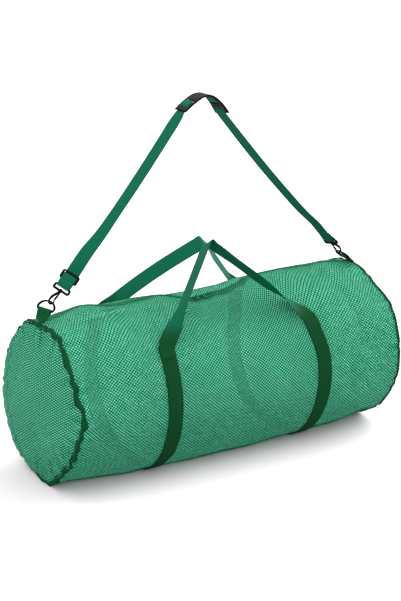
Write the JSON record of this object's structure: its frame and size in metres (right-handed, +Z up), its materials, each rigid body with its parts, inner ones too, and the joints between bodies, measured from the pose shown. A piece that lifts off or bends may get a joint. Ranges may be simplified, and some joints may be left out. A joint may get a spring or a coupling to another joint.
{
  "type": "mesh duffel bag",
  "caption": "Long round duffel bag of open net lying on its side, with a zip along the top, webbing bands, peaked carry handles and a padded shoulder strap on snap hooks.",
  "frame": {"origin": "on the floor under the middle of the bag, half way between the end seams", "axes": "+X along the bag toward the end without the strap slider, +Y toward the back, +Z up"},
  "size_m": [0.9018, 0.3874, 0.8318],
  "materials": {
    "net": "open knitted net, satin",
    "binding": "folded woven tape, matt",
    "zip_tape": "woven tape, matt",
    "zip_parts": "dyed nylon coil and painted sliders",
    "band": "woven webbing, matt",
    "webbing": "woven webbing, soft sheen",
    "hardware": "black, satin",
    "slider": "black, satin",
    "pad": "black, ribbed, matt"
  },
  "bodies": {
    "root": {"body_panel": "net", "end_panel_left": "net", "end_panel_right": "net", "end_binding_left": "binding", "end_binding_right": "binding", "zip_tape": "zip_tape", "zip_coil": "zip_parts", "zip_slider_left": "zip_parts", "zip_slider_right": "zip_parts", "zip_puller_left": "zip_parts", "zip_puller_right": "zip_parts", "band_left": "band", "band_right": "band", "handle_front": "webbing", "handle_back": "webbing", "tab_left": "webbing", "tab_right": "webbing", "d_ring_left": "hardware", "d_ring_right": "hardware", "hook_eye_left": "hardware", "hook_eye_right": "hardware", "hook_body_left": "hardware", "hook_body_right": "hardware", "shoulder_strap": "webbing", "strap_slider": "slider", "shoulder_pad": "pad"},
    "gate_left": {"hook_gate_left": "hardware"},
    "gate_right": {"hook_gate_right": "hardware"}
  },
  "joints": [
    {"name": "gate_left_hinge", "type": "hinge", "parent": "root", "child": "gate_left", "pos_m": [-0.38082, 0.00027, 0.42137], "axis": [-0.052, 0.9968, 0.0608], "range_deg": [0, 18], "stiffness_Nm_per_rad": 0.02, "springref_deg": -2.86},
    {"name": "gate_right_hinge", "type": "hinge", "parent": "root", "child": "gate_right", "pos_m": [0.37599, 0, 0.4247], "axis": [0, -1, 0], "range_deg": [0, 18], "stiffness_Nm_per_rad": 0.02, "springref_deg": -2.86}
  ]
}
